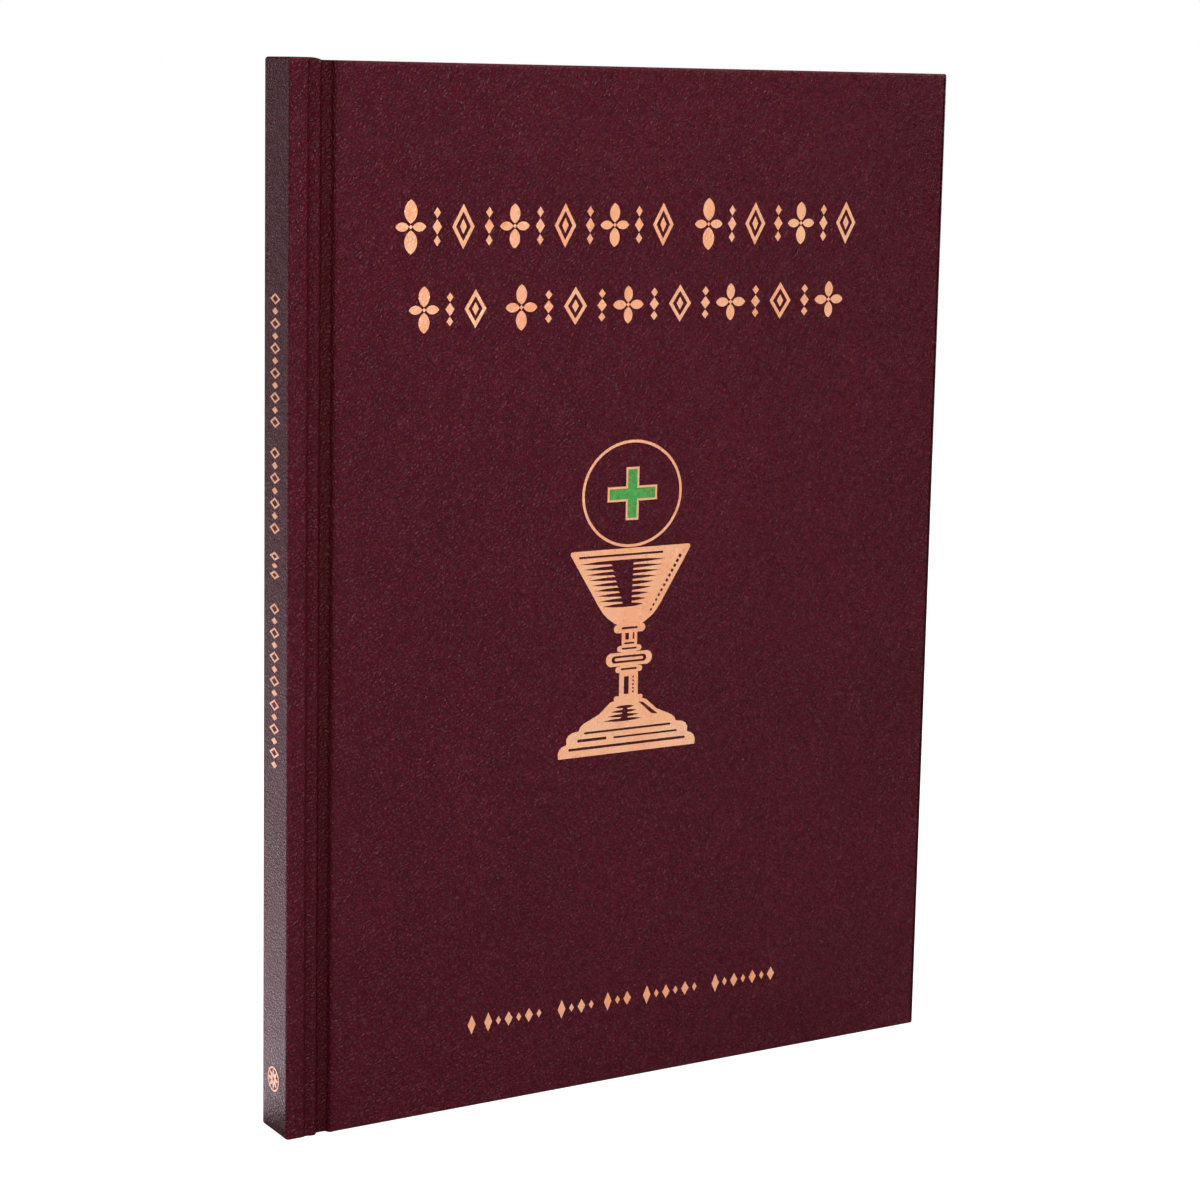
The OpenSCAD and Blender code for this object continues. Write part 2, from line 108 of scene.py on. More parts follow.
class Nodes:
    """A small helper for building one material's node tree."""

    def __init__(self, name):
        self.mat = bpy.data.materials.new(name)
        self.mat.use_nodes = True
        self.tree = self.mat.node_tree
        self.shader = self.tree.nodes["Principled BSDF"]
        self.coords = self.new("ShaderNodeTexCoord").outputs["Object"]

    def new(self, kind, **settings):
        node = self.tree.nodes.new(kind)
        for key, value in settings.items():
            setattr(node, key, value)
        return node

    def put(self, socket, value):
        if isinstance(value, bpy.types.NodeSocket):
            self.tree.links.new(value, socket)
        else:
            socket.default_value = value

    def mapped(self, scale):
        node = self.new("ShaderNodeMapping")
        self.put(node.inputs["Vector"], self.coords)
        node.inputs["Scale"].default_value = scale
        return node.outputs["Vector"]

    def noise(self, scale, detail=2.0, rough=0.5, vector=None):
        node = self.new("ShaderNodeTexNoise")
        self.put(node.inputs["Vector"], vector or self.coords)
        node.inputs["Scale"].default_value = scale
        node.inputs["Detail"].default_value = detail
        node.inputs["Roughness"].default_value = rough
        return node.outputs["Fac"], node.outputs["Color"]

    def voronoi(self, scale, feature="F1", vector=None, random_amount=1.0):
        node = self.new("ShaderNodeTexVoronoi", feature=feature)
        self.put(node.inputs["Vector"], vector or self.coords)
        node.inputs["Scale"].default_value = scale
        node.inputs["Randomness"].default_value = random_amount
        return node.outputs["Distance"]

    def math(self, operation, a, b=0.0):
        node = self.new("ShaderNodeMath", operation=operation)
        self.put(node.inputs[0], a)
        self.put(node.inputs[1], b)
        return node.outputs["Value"]

    def warp(self, amount, scale):
        """The object's coordinates, shifted by a noise, in metres."""
        shift = self.new("ShaderNodeVectorMath", operation="MULTIPLY_ADD")
        self.put(shift.inputs[0], self.noise(scale, 2.0)[1])
        shift.inputs[1].default_value = (amount,) * 3
        self.put(shift.inputs[2], self.coords)
        return shift.outputs["Vector"]

    def scaled(self, vector, scale, turn=(0, 0, 0)):
        """A pattern drawn out by these factors along its own turned axes."""
        node = self.new("ShaderNodeMapping", vector_type="TEXTURE")
        self.put(node.inputs["Vector"], vector)
        node.inputs["Scale"].default_value = scale
        node.inputs["Rotation"].default_value = turn
        return node.outputs["Vector"]

    def ramp(self, value, low, high, to_low=0.0, to_high=1.0):
        node = self.new("ShaderNodeMapRange")
        self.put(node.inputs["Value"], value)
        for key, number in zip(("From Min", "From Max", "To Min", "To Max"),
                               (low, high, to_low, to_high)):
            node.inputs[key].default_value = number
        return node.outputs["Result"]

    def mix(self, factor, a, b):
        node = self.new("ShaderNodeMix", data_type="RGBA")
        self.put(node.inputs[0], factor)
        self.put(node.inputs[6], a)
        self.put(node.inputs[7], b)
        return node.outputs[2]

    def attribute(self, name):
        return self.new("ShaderNodeAttribute", attribute_name=name).outputs["Fac"]

    def bump(self, height, distance, strength=1.0):
        node = self.new("ShaderNodeBump")
        node.inputs["Strength"].default_value = strength
        node.inputs["Distance"].default_value = distance
        self.put(node.inputs["Height"], height)
        return node.outputs["Normal"]

    def finish(self, color, roughness, normal=None, **fixed):
        """The material, with the values named in fixed set on the shader's own sockets."""
        self.put(self.shader.inputs["Base Color"], color)
        self.put(self.shader.inputs["Roughness"], roughness)
        if normal is not None:
            self.put(self.shader.inputs["Normal"], normal)
        for key, value in fixed.items():
            self.shader.inputs[key.replace("_", " ")].default_value = value
        return self.mat


def srgb(red, green, blue):
    """A display colour from 0 to 255 as linear light."""
    linear = [c / 255 / 12.92 if c <= 10 else ((c / 255 + 0.055) / 1.055) ** 2.4
              for c in (red, green, blue)]
    return (*linear, 1.0)


GRAIN_TURN = (0.0, math.radians(48), 0.0)
FOIL_METAL = 0.2


def grain(n):
    """Height of a pebbled leather grain, lowest in its creases, its pebbles and its folds."""
    base = n.scaled(n.warp(0.0012, 600), (1.0, 1.0, 1.5), GRAIN_TURN)
    pebble = n.ramp(n.voronoi(1200, "DISTANCE_TO_EDGE", base, 0.95), 0.0, 0.3)
    small = n.ramp(n.voronoi(2600, "DISTANCE_TO_EDGE", base), 0.0, 0.3)
    fine = n.noise(3400, 2.0, 0.6)[0]
    folds = n.noise(650, 3.0, 0.65, base)[0]
    both = n.math("ADD", n.math("MULTIPLY", pebble, 0.9), n.math("MULTIPLY", small, 0.16))
    rest = n.math("ADD", n.math("MULTIPLY", fine, 0.18), n.math("MULTIPLY", folds, 0.6))
    return n.math("ADD", both, rest), pebble, folds


def leather_material():
    n = Nodes("maroon_leather_grain")
    height, pebble, folds = grain(n)
    patches = n.noise(26, 3.0, 0.55)[0]
    painted_highlight_flecks = n.noise(1100, 2.0, 0.6)[0]
    tone = n.mix(n.ramp(patches, 0.3, 0.7), srgb(88, 9, 31), srgb(80, 6, 27))
    # Painted shade: the grain's creases and the hollows of its folds are painted darker.
    tone = n.mix(n.ramp(pebble, 0.0, 0.5, 0.85, 0.0), tone, srgb(40, 1, 9))
    tone = n.mix(n.ramp(folds, 0.35, 0.5, 0.35, 0.0), tone, srgb(54, 4, 16))
    # Painted highlight: flecks on the crests of the folds are painted lighter.
    painted_crest_highlight = n.math("MULTIPLY", n.ramp(folds, 0.52, 0.66), n.ramp(painted_highlight_flecks, 0.48, 0.66))
    tone = n.mix(n.math("MULTIPLY", painted_crest_highlight, 0.3), tone, srgb(126, 58, 76))
    worn = n.math("MULTIPLY", n.attribute("wear"), n.ramp(n.noise(420, 3.0)[0], 0.35, 0.7))
    tone = n.mix(worn, tone, srgb(112, 44, 56))
    # Painted shade: the joint's groove and the crease beside the ridge are painted darker the
    # deeper they lie.
    shade = n.attribute("shade")
    tone = n.mix(n.math("MULTIPLY", shade, 0.85), tone, srgb(56, 0, 5))
    rough = n.ramp(n.noise(90, 3.0)[0], 0.25, 0.75, 0.28, 0.36)
    rough = n.math("ADD", rough, n.ramp(pebble, 0.0, 0.5, 0.12, 0.0))
    rough = n.math("ADD", rough, n.math("MULTIPLY", shade, 0.1))
    return n.finish(tone, rough, n.bump(height, 0.0002, 1.0), Specular_IOR_Level=0.15)


def foil_material(name, color, light):
    n = Nodes(name)
    height, pebble, folds = grain(n)
    patches = n.noise(60, 3.0, 0.6)[0]
    flecks = n.noise(2200, 2.0, 0.6)[0]
    tone = n.mix(n.ramp(patches, 0.3, 0.7), color, light)
    # Painted shade: the foil is painted darker in the grain's creases and the hollows of its
    # folds.
    painted_crease_shade = n.math("MULTIPLY", n.ramp(pebble, 0.0, 0.2, 1.0, 0.0),
                  n.ramp(folds, 0.3, 0.5, 1.0, 0.0))
    tone = n.mix(n.math("MULTIPLY", painted_crease_shade, 0.5), tone, srgb(170, 98, 66))
    tone = n.mix(n.ramp(flecks, 0.62, 0.8, 0.0, 0.6), tone, light)
    rough = n.ramp(n.noise(300, 3.0)[0], 0.3, 0.7, 0.24, 0.42)
    return n.finish(tone, rough, n.bump(height, 0.0001, 0.8), Metallic=FOIL_METAL)


def green_material():
    n = Nodes("green_foil_grain")
    height, pebble = grain(n)[:2]
    tone = n.mix(n.ramp(n.noise(900, 2.0)[0], 0.35, 0.7), srgb(66, 150, 66), srgb(92, 176, 88))
    # Painted shade: the grain's creases are painted darker.
    tone = n.mix(n.ramp(pebble, 0.0, 0.3, 0.45, 0.0), tone, srgb(40, 104, 46))
    rough = n.ramp(n.noise(300, 3.0)[0], 0.3, 0.7, 0.3, 0.48)
    return n.finish(tone, rough, n.bump(height, 0.00009, 0.8), Metallic=0.1)


def paper_material(name, color, dark, fibre_strength):
    n = Nodes(name)
    fibres = n.noise(900, 4.0, 0.65, n.scaled(n.warp(0.0015, 300), (1.0, 1.0, 0.35)))[0]
    clouds = n.noise(35, 3.0, 0.5)[0]
    tone = n.mix(n.ramp(clouds, 0.3, 0.7), color, dark)
    tone = n.mix(n.ramp(fibres, 0.55, 0.8, 0.0, fibre_strength), tone, srgb(206, 196, 172))
    rough = n.ramp(n.noise(500, 3.0)[0], 0.3, 0.7, 0.72, 0.86)
    return n.finish(tone, rough, n.bump(fibres, 0.00003, 0.6), Specular_IOR_Level=0.3)


def card_material(name, color, dark):
    n = Nodes(name)
    fibres = n.noise(1500, 4.0, 0.7)[0]
    flecks = n.noise(260, 3.0, 0.7)[0]
    tone = n.mix(n.ramp(flecks, 0.4, 0.65), color, dark)
    tone = n.mix(n.ramp(fibres, 0.6, 0.8, 0.0, 0.5), tone, srgb(178, 168, 150))
    return n.finish(tone, 0.88, n.bump(fibres, 0.00005, 0.8), Specular_IOR_Level=0.2)


def weave_material(name, color, gap, pitch):
    """Open weave: threads over and under one another at a pitch in metres."""
    n = Nodes(name)
    split = n.new("ShaderNodeSeparateXYZ")
    n.put(split.inputs[0], n.warp(0.00004, 900))
    flat = n.math("ADD", split.outputs["X"], split.outputs["Y"])
    turns = 2 * math.pi / pitch
    across = n.math("SINE", n.math("MULTIPLY", flat, turns))
    along = n.math("SINE", n.math("MULTIPLY", split.outputs["Z"], turns))
    threads = n.math("MAXIMUM", across, along)
    height = n.ramp(threads, -0.4, 0.9)
    tone = n.mix(height, gap, color)
    tone = n.mix(n.ramp(n.noise(2500, 2.0)[0], 0.5, 0.8, 0.0, 0.3), tone, srgb(250, 246, 232))
    return n.finish(tone, 0.9, n.bump(height, 0.00012, 0.9), Specular_IOR_Level=0.15)


def thread_material():
    n = Nodes("linen_thread_twist")
    split = n.new("ShaderNodeSeparateXYZ")
    n.put(split.inputs[0], n.coords)
    twist = n.math("ADD", split.outputs["Y"], n.math("MULTIPLY", split.outputs["Z"], 0.8))
    strands = n.math("SINE", n.math("MULTIPLY", twist, 9000.0))
    height = n.ramp(strands, -1.0, 1.0)
    tone = n.mix(height, srgb(190, 180, 154), srgb(240, 234, 216))
    return n.finish(tone, 0.7, n.bump(height, 0.00006, 0.9))


def band_material():
    """Silk wound round the bands in two colours."""
    n = Nodes("band_silk_stripes")
    split = n.new("ShaderNodeSeparateXYZ")
    n.put(split.inputs[0], n.coords)
    stripe = n.math("SINE", n.math("MULTIPLY", split.outputs["Y"], 2 * math.pi / 0.0018))
    tone = n.mix(n.ramp(stripe, -0.15, 0.15), srgb(112, 26, 40), srgb(232, 222, 198))
    floss = n.noise(3500, 2.0, 0.6, n.mapped((1.0, 3.0, 0.4)))[0]
    tone = n.mix(n.ramp(floss, 0.5, 0.8, 0.0, 0.35), tone, srgb(250, 240, 226))
    return n.finish(tone, n.ramp(floss, 0.3, 0.7, 0.38, 0.55), n.bump(floss, 0.00004, 0.8))


LEATHER = leather_material()
GOLD = foil_material("gold_foil_grain", srgb(255, 168, 122), srgb(255, 196, 154))
# A darker copy of the gold foil for the spine's roundel: painted shade.
PAINTED_SHADE_GOLD = foil_material("painted_shade_foil_grain", srgb(196, 126, 90), srgb(214, 158, 122))
GREEN = green_material()
PAPER = paper_material("text_paper_fibre", srgb(239, 234, 220), srgb(236, 230, 214), 0.35)
ENDPAPER = paper_material("endpaper_fibre", srgb(235, 230, 216), srgb(231, 225, 210), 0.5)
CARD = card_material("grey_board", srgb(136, 126, 110), srgb(112, 103, 90))
KRAFT = card_material("kraft_lining", srgb(156, 120, 82), srgb(134, 100, 66))
GAUZE = weave_material("gauze_weave", srgb(228, 222, 202), srgb(150, 140, 118), 0.0011)
THREAD = thread_material()
SILK = band_material()

FOIL_NODES = ("title_band_upper", "title_band_lower", "host_ring", "cross_border",
              "chalice", "foot_band", "spine_band")
CARRIED = {name: GOLD for name in FOIL_NODES}
CARRIED.update({"spine_roundel": PAINTED_SHADE_GOLD, "cross_inlay": GREEN,
                "front_board": CARD, "back_board": CARD, "spine_board": CARD,
                "front_mull_flap": GAUZE, "back_mull_flap": GAUZE,
                "mull": GAUZE, "sewing_threads": THREAD, "spine_lining": KRAFT,
                "section_folds": PAPER, "front_endpaper_fold": ENDPAPER,
                "back_endpaper_fold": ENDPAPER, "front_pastedown": ENDPAPER,
                "back_pastedown": ENDPAPER})
for node_name, finish in CARRIED.items():
    data = frame["nodes"][node_name].data
    data.materials.clear()
    data.materials.append(finish)

# ---- Mesh building ----


class Builder:
    """Collects patches of quads in (s, d, z) millimetres and joins them into one mesh."""

    def __init__(self):
        self.points, self.faces, self.count = [], [], 0

    def add(self, points):
        flat = np.asarray(points, float).reshape(-1, 3)
        first = self.count
        self.points.append(flat)
        self.count += len(flat)
        return first

    def grid(self, points, closed=False):
        """A patch of quads from an array of rows; closed joins each row's ends."""
        p = np.asarray(points, float)
        rows, cols = p.shape[:2]
        first = self.add(p)
        index = np.arange(rows * cols).reshape(rows, cols) + first
        if closed:
            index = np.concatenate([index, index[:, :1]], axis=1)
        quads = np.stack([index[:-1, :-1], index[1:, :-1], index[1:, 1:], index[:-1, 1:]], -1)
        self.faces.extend(quads.reshape(-1, 4).tolist())

    def fill(self, loop):
        first = self.add(loop)
        self.faces.append(list(range(first, first + len(loop))))

    def mesh(self, name, side, material, change=None, marks=None, merge=0.002):
        """The finished object. change(points) moves joined points; each of the marks is a
        function of the points whose values are kept as an attribute."""
        mesh = bpy.data.meshes.new(name)
        points = np.concatenate(self.points)
        mesh.from_pydata(points.tolist(), [], self.faces)
        work = bmesh.new()
        work.from_mesh(mesh)
        bmesh.ops.remove_doubles(work, verts=work.verts, dist=merge)
        bmesh.ops.recalc_face_normals(work, faces=work.faces)
        work.to_mesh(mesh)
        work.free()
        points = np.zeros(len(mesh.vertices) * 3)
        mesh.vertices.foreach_get("co", points)
        points = points.reshape(-1, 3)
        values = {key: mark(points) for key, mark in (marks or {}).items()}
        if change:
            points = change(points)
        mesh.vertices.foreach_set("co", place(points, side).ravel())
        if side < 0:
            mesh.flip_normals()
        for key, value in values.items():
            layer = mesh.attributes.new(key, "FLOAT", "POINT")
            layer.data.foreach_set("value", value.astype(np.float32))
        mesh.materials.append(material)
        mesh.polygons.foreach_set("use_smooth", [True] * len(mesh.polygons))
        mesh.update()
        obj = bpy.data.objects.new(name, mesh)
        bpy.context.scene.collection.objects.link(obj)
        return obj


def run(start, end, step):
    """Evenly spaced numbers from start to end, about step apart."""
    return np.linspace(start, end, max(2, int(round(abs(end - start) / step)) + 1))


def arc(centre, radius, start, end, pieces):
    """Points on an arc; angles in degrees."""
    angles = np.radians(np.linspace(start, end, pieces + 1))
    return [(centre[0] + radius * math.cos(a), centre[1] + radius * math.sin(a))
            for a in angles]


def rounded(points, rounds=3):
    """A line with its corners cut again and again, its ends kept."""
    line = [np.array(p, float) for p in points]
    for _ in range(rounds):
        cut = [line[0]]
        for a, b in zip(line[:-1], line[1:]):
            cut += [a * 0.75 + b * 0.25, a * 0.25 + b * 0.75]
        line = [*cut, line[-1]]
    return np.array(line)


def smooth(t):
    """A share from 0 to 1 that starts and ends gently."""
    return t * t * (3 - 2 * t)


def painted_groove_shade(p):
    """How deep in the joint a point lies, from 0 to 1: the leather is painted darker there, as
    painted shade.
    """
    depth = np.minimum(p[:, 1], 2 * HALF_T - p[:, 1])
    in_joint = (p[:, 0] > RIDGE_END - 0.6) & (p[:, 0] < HINGE + 3.5)
    return np.clip(depth / 1.2, 0, 1) ** 0.6 * in_joint


# The flat of a face begins this far in from its edge.
FACE_N = 1.2
# The folded edge's thickness in the joint, and the radii of its outer and inner rounds
# there and on the board. TURNED_T is the thickness of the leather that is turned in.
JOINT_T, JOINT_OUT_R, JOINT_IN_R = 0.93, 0.45, 0.3
BOARD_OUT_R, BOARD_IN_R = 0.85, 0.5
TURNED_T = 0.3


def edge_loop(o_in, r_out, r_in):
    """Leather folded over an edge, in (n, o): n in from the edge, o in from the outside."""
    out = [(FACE_N, 0.0)]
    out += [(r_out * (1 - math.sin(a)), r_out * (1 - math.cos(a)))
            for a in np.linspace(0, math.pi / 2, 7)]
    middle = (r_out + o_in - r_in) / 2
    out.append((0.0, middle))
    out += [(r_in * (1 - math.cos(a)), o_in - r_in * (1 - math.sin(a)))
            for a in np.linspace(0, math.pi / 2, 6)]
    out += [(n, o_in) for n in (1.6, 2.6, 4.0, 8.0, 12.0)]
    pared = 0.12
    out += [(TURN_IN - 0.5, o_in - 0.02), (TURN_IN, o_in - pared)]
    back = max(o_in - TURNED_T, SKIN + 0.03)
    out += [(TURN_IN, back), (SKIN, back), (SKIN, SKIN), (FACE_N, SKIN)]
    return np.array(out)


BOARD_LOOP = edge_loop(TOTAL_IN, BOARD_OUT_R, BOARD_IN_R)
FACE_STEP = 0.92
CORNER_R = 0.6
FACE_START = BOARD_S + 2.0
face_s = run(FACE_START, HALF_W * 2 - CORNER_R, FACE_STEP)
face_z = run(FACE_N, BOOK_H - FACE_N, FACE_STEP)


def joint_thickness(s):
    """How thick the leather's folded edge is at a place in the joint."""
    t = np.clip((s - (BOARD_S - 0.5)) / 1.2, 0, 1)
    return JOINT_T + (TOTAL_IN - JOINT_T) * smooth(t)


def cover_line():
    """Outside of the leather from the hinge over the groove's wall on to the board."""
    end = HINGE + 1.1
    control = [(HINGE + GAP, GROOVE_D), (end - 0.3, GROOVE_D), (end + 0.15, GROOVE_D - 0.3),
               (end + 0.4, 0.75), (end + 0.8, 0.22), (end + 1.4, 0.02), (end + 2.4, 0.0)]
    line = rounded(control, 2).tolist()
    line += [(s, 0.0) for s in run(end + 3.0, FACE_START, 0.4)]
    return np.array(line)


def section_loop(s, d, o_in, r_out, r_in):
    """One closed cross-section of leather at one place, from tail to head and back."""
    loop = edge_loop(o_in, r_out, r_in)
    tail = [(s, d + o, n) for n, o in loop[::-1]]
    body = [(s, d, z) for z in face_z[1:-1]]
    head = [(s, d + o, BOOK_H - n) for n, o in loop]
    return np.array(tail + body + head)


def surface_noise(points, seed):
    """Slight unevenness of the leather, 0 to 1, by place."""
    values = np.empty(len(points))
    for i, p in enumerate(points):
        v = Vector((p[0] * 0.34, p[2] * 0.30, seed))
        w = Vector((p[0] * 0.05, p[2] * 0.05, seed + 9))
        values[i] = 0.5 + 0.32 * noise.noise(v) + 0.3 * noise.noise(w)
    return np.clip(values, 0, 1)


FACE_UNEVEN = 0.035


def cover_leather(side, name, node, body):
    """The leather over a board, from the joint to the fore-edge, with its turn-ins."""
    b = Builder()
    loop = BOARD_LOOP
    b.grid([[(s, 0.0, z) for z in face_z] for s in face_s])
    width, height = HALF_W * 2, BOOK_H

    def ring_row(n, o):
        reach = max(CORNER_R, n)
        radius = max(CORNER_R - n, 0.03)
        share = (width - reach - FACE_START) / (width - CORNER_R - FACE_START)
        low_s = FACE_START + (face_s - FACE_START) * share
        z_share = (height - 2 * reach) / (height - 2 * FACE_N)
        side_z = height / 2 + (face_z - height / 2) * z_share
        centre = (width - n - radius, n + radius)
        top = (width - n - radius, height - n - radius)
        row = [(s, o, n) for s in low_s[:-1]]
        row += [(a, o, c) for a, c in arc(centre, radius, -90, 0, 6)]
        row += [(width - n, o, z) for z in side_z[1:-1]]
        row += [(a, o, c) for a, c in arc(top, radius, 0, 90, 6)]
        row += [(s, o, height - n) for s in low_s[:-1][::-1]]
        return row

    rows = [ring_row(n, o) for n, o in loop]
    b.grid(rows)
    b.fill(rows[-1])
    stations = []
    for s, d in cover_line():
        t = np.clip((s - HINGE - 1.2) / 2.5, 0, 1)
        thick = float(joint_thickness(s))
        r_out = min(JOINT_OUT_R + (BOARD_OUT_R - JOINT_OUT_R) * t, thick / 2)
        r_in = min(JOINT_IN_R + (BOARD_IN_R - JOINT_IN_R) * t, thick / 2)
        stations.append(section_loop(s, d, thick, r_out, r_in))
    stations[-1] = section_loop(FACE_START, 0.0, TOTAL_IN, BOARD_OUT_R, BOARD_IN_R)
    b.grid(stations, closed=True)
    b.fill(stations[0][::-1])

    def change(p):
        p = p.copy()
        inside = ((p[:, 1] < 0.02) & (p[:, 2] > FACE_N + 1) & (p[:, 2] < BOOK_H - FACE_N - 1)
                  & (p[:, 0] > FACE_START - 1) & (p[:, 0] < width - FACE_N - 1))
        p[inside, 1] += FACE_UNEVEN * surface_noise(p[inside], side * 3.0)
        return p

    def wear(p):
        from_edge = np.minimum.reduce([p[:, 2], BOOK_H - p[:, 2], width - p[:, 0]])
        corner = np.exp(-(np.hypot(np.minimum(p[:, 2], BOOK_H - p[:, 2]),
                                   width - p[:, 0])) / 4.0)
        rim = np.exp(-np.maximum(from_edge - 0.1, 0) / 0.5) * (p[:, 1] < 1.4)
        return np.clip(0.55 * rim + 0.6 * corner, 0, 1)

    obj = b.mesh(name, side, LEATHER, change, {"wear": wear, "shade": painted_groove_shade})
    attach(obj, body)
    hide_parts(node)


cover_leather(1, "front_cover_leather", "front_leather", "front_cover")
cover_leather(-1, "back_cover_leather", "back_leather", "back_cover")

# ---- Leather of the spine ----

SPINE_STEP = 0.75
RIDGE_R = 1.0
# The ridge lies this far below the cover's face, so an open cover rests clear of it.
RIDGE_EASE = 0.012
# The folded edge's thickness on the spine's back and on its ridges.
BACK_IN, FLANGE_IN = 2.7, 2.4
SPINE_OUT_R = 0.8
# Slight unevenness of the spine's back, of the fall to the groove and of the ridges.
BACK_UNEVEN, FALL_UNEVEN, RIDGE_UNEVEN = 0.03, 0.1, 0.03


def ridge_line():
    """Outside of the leather from the hinge to the ridge's flat, towards the spine."""
    control = [(HINGE - GAP, GROOVE_D), (HINGE - 1.2, GROOVE_D), (HINGE - 1.65, 1.35),
               (HINGE - 1.9, 0.75), (HINGE - 2.2, 0.36), (HINGE - 2.7, 0.2),
               (RIDGE_END + 2.8, 0.18), (RIDGE_END + 2.2, 0.34), (RIDGE_END + 1.6, 0.62),
               (RIDGE_END + 1.0, 0.64), (RIDGE_END + 0.5, 0.36), (RIDGE_END + 0.1, 0.05),
               (RIDGE_END - 0.5, 0.0), (RIDGE_END - 1.2, 0.0)]
    line = rounded(control, 2).tolist()
    line += [(s, 0.0) for s in run(RIDGE_END - 1.8, RIDGE_R + 0.3, 0.6)]
    return np.array(line)


def head_height(s):
    """Height of the leather's head at a place between the ridge and the hinge."""
    t = np.clip((HINGE - 0.4 - s) / (HINGE - 0.4 - RIDGE_END - 1.2), 0, 1)
    return BOOK_H + (SPINE_H - BOOK_H) * smooth(t)


def spine_stations():
    """Each place round half the spine: kind, s, d, height, folded thickness."""
    found = []
    for s, d in ridge_line():
        t = smooth(np.clip((RIDGE_END + 0.6 - s) / 0.6, 0, 1))
        found.append(("flat", s, d, head_height(s), JOINT_T + (FLANGE_IN - JOINT_T) * t))
    for angle in np.linspace(0, math.pi / 2, 8):
        found.append(("corner", angle, 0.0, SPINE_H,
                      FLANGE_IN + (BACK_IN - FLANGE_IN) * angle / (math.pi / 2)))
    for d in run(RIDGE_R + 0.6, HALF_T, 0.6):
        found.append(("back", 0.0, d, SPINE_H, BACK_IN))
    return found


spine_z = run(FACE_N, BOOK_H - FACE_N, SPINE_STEP)


def spine_point(kind, a, d, o):
    """A point at a depth o inside the leather's outside, as (s, d)."""
    if kind == "flat":
        return a, d + o
    if kind == "back":
        return o, d
    radius = max(RIDGE_R - o, 0.03)
    centre = max(RIDGE_R, o + radius)
    return centre - radius * math.sin(a), centre - radius * math.cos(a)


def spine_section(station, mirrored):
    """One closed cross-section of the spine's leather, on the front half or the back."""
    kind, a, d, height, thick = station
    t = (thick - JOINT_T) / (BACK_IN - JOINT_T)
    r_out = min(JOINT_OUT_R + (SPINE_OUT_R - JOINT_OUT_R) * t, thick / 2)
    loop = edge_loop(thick, r_out, JOINT_IN_R)
    stretch = (height - 2 * FACE_N) / (BOOK_H - 2 * FACE_N)
    body = FACE_N + (spine_z - FACE_N) * stretch
    points = []
    for n, o in loop[::-1]:
        points.append((*spine_point(kind, a, d, o), n))
    outer = spine_point(kind, a, d, 0.0)
    points += [(*outer, z) for z in body[1:-1]]
    for n, o in loop:
        points.append((*spine_point(kind, a, d, o), height - n))
    points = np.array(points)
    if mirrored:
        points[:, 1] = 2 * HALF_T - points[:, 1]
    return points


def spine_leather():
    b = Builder()
    half = spine_stations()
    stations = [spine_section(s, False) for s in half]
    stations += [spine_section(s, True) for s in half[-2::-1]]
    b.grid(stations, closed=True)
    b.fill(stations[0][::-1])
    b.fill(stations[-1])

    def change(p):
        p = p.copy()
        calm = (p[:, 2] > 2.5) & (p[:, 2] < BOOK_H - 2.5)
        flat = (p[:, 0] < 0.01) & calm
        turned = p[flat][:, [1, 0, 2]]
        p[flat, 0] += BACK_UNEVEN * surface_noise(turned, 21.0)
        depth = np.minimum(p[:, 1], 2 * HALF_T - p[:, 1])
        strip = (p[:, 0] > RIDGE_END + 0.3) & (p[:, 0] < HINGE - 1.9) & (depth < 0.7) & calm
        push = FALL_UNEVEN * surface_noise(p[strip] * np.array([1.6, 1, 0.5]), 33.0)
        p[strip, 1] += np.where(p[strip, 1] < HALF_T, push, -push)
        ridge = (p[:, 0] > RIDGE_R - 0.1) & (p[:, 0] < RIDGE_END - 0.4) & (depth < 0.01)
        push = RIDGE_EASE + RIDGE_UNEVEN * surface_noise(p[ridge], 41.0) * calm[ridge]
        p[ridge, 1] += np.where(p[ridge, 1] < HALF_T, push, -push)
        return p

    def wear(p):
        depth = np.minimum(p[:, 1], 2 * HALF_T - p[:, 1])
        ends = np.minimum(p[:, 2], SPINE_H - p[:, 2])
        rim = np.exp(-np.maximum(ends - 0.1, 0) / 0.6) * ((p[:, 0] < 1.6) | (depth < 1.2))
        corner = np.exp(-np.hypot(np.maximum(p[:, 0], 0), depth) / 0.5)
        return np.clip(0.5 * rim + 0.4 * corner, 0, 1)

    obj = b.mesh("spine_case_leather", 1, LEATHER, change,
                 {"wear": wear, "shade": painted_groove_shade})
    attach(obj, "spine_block")
    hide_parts("spine_leather")


spine_leather()


def bend(obj, side, start, end):
    """Bakes a piece's placement into its points; the two places are put into frame metres but
    not used.
    """
    ends = place([(start, 0, 0), (end, 0, 0)], side)
    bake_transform(obj)


def joint_leather(side, name):
    """The strip of leather across the hinge, at the floor of the groove."""
    b = Builder()
    stations = [section_loop(s, GROOVE_D, JOINT_T, JOINT_OUT_R, JOINT_IN_R)
                for s in np.linspace(HINGE - GAP, HINGE + GAP, 19)]
    b.grid(stations, closed=True)
    b.fill(stations[0][::-1])
    b.fill(stations[-1])
    obj = b.mesh(name, side, LEATHER, None, {"shade": painted_groove_shade})
    bend(obj, side, HINGE - GAP, HINGE + GAP)


joint_leather(1, "front_joint_leather")
joint_leather(-1, "back_joint_leather")

# ---- Leaves and endpapers ----

SECTIONS = 8
LEAVES_PER_SECTION = 8
LEAF_BEND = 8.0
# How unevenly the leaves are trimmed, and the air between them as a share of their pitch.
FORE_EDGE_UNEVEN, HEAD_UNEVEN = 0.14, 0.07
AIR_SHARE = 0.06
ENDPAPER_T = 0.13
# Thin sheets keep points that are nearer to each other than those of the leather.
SHEET_MERGE = 0.0005


